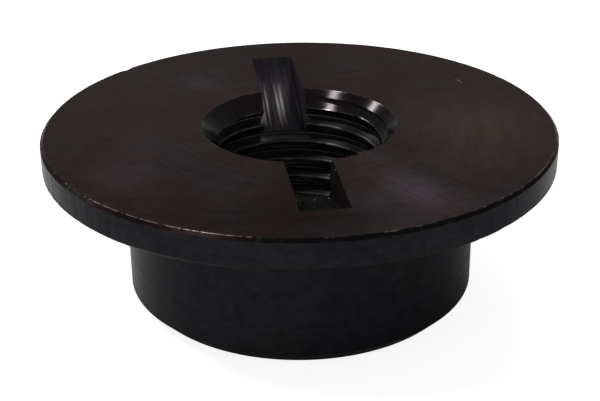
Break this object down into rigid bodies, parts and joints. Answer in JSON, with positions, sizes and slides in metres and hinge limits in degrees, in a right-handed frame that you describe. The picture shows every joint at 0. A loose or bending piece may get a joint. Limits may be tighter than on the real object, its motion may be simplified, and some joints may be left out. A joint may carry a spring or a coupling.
{
  "type": "flange nut",
  "caption": "Flange nut: a thin round flange on a round hub, with a countersunk through thread and a tool slot with a round floor across the flange's top face.",
  "frame": {"origin": "centre of the hub's end face, on the thread's axis", "axes": "+Z along the thread's axis, from the hub's end face up to the flange's top face; the slot runs along Y"},
  "size_m": [0.05, 0.05, 0.0171],
  "materials": {
    "black_oxide_steel": "black oxide over turned steel, with a satin sheen"
  },
  "bodies": {
    "root": {"flange_nut": "black_oxide_steel"}
  },
  "joints": []
}
